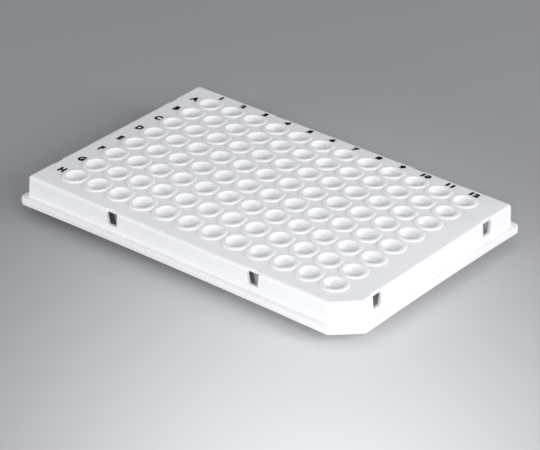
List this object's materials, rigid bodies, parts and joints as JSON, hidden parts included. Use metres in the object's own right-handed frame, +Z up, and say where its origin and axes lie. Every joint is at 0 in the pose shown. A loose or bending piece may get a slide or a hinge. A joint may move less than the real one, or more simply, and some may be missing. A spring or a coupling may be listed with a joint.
{
  "type": "well plate",
  "caption": "Low-profile half-skirted laboratory plate with a grid of conical wells, raised rims, a stepped foot, gripping windows and one cut corner.",
  "frame": {"origin": "under the centre of the footprint, level with the lowest tube tips, on which the plate stands", "axes": "+X from column 1 to column 12, +Y from row H to row A, +Z up out of the wells; the cut corner is at +X, -Y"},
  "size_m": [0.1278, 0.0854, 0.0148],
  "materials": {
    "white_polypropylene": "satin moulded white polypropylene",
    "index_ink": "flat black printed ink of the row letters and column numbers"
  },
  "bodies": {
    "root": {"plate": "white_polypropylene"}
  },
  "joints": []
}
